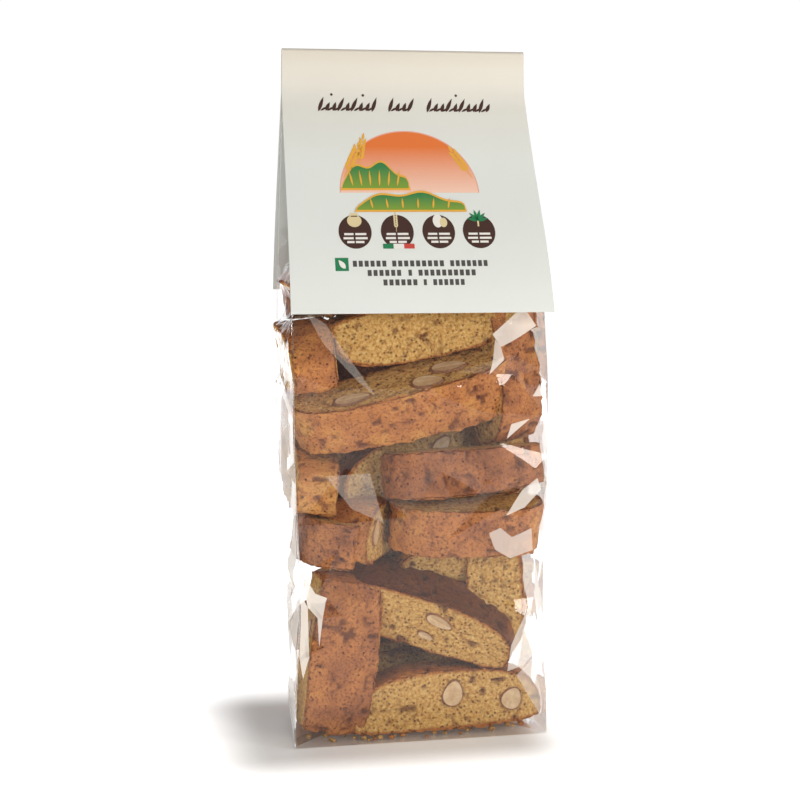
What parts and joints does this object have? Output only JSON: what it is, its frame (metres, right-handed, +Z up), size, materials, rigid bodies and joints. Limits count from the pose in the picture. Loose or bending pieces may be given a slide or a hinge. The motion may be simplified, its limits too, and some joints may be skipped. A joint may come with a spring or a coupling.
{
  "type": "bag of biscotti",
  "caption": "Clear stand-up film bag with side gussets, filled with sliced almond biscotti and closed by a folded paper header card over its flat sealed top.",
  "frame": {"origin": "on the floor under the middle of the whole object's box", "axes": "+Z up along the bag, -Y is the front with the printed flap of the card, +X is to the right seen from the front"},
  "size_m": [0.11, 0.0734, 0.2806],
  "materials": {
    "bag": "glossy",
    "header_card": "satin"
  },
  "bodies": {
    "root": {"bag": "bag", "header_card": "header_card"}
  },
  "joints": []
}
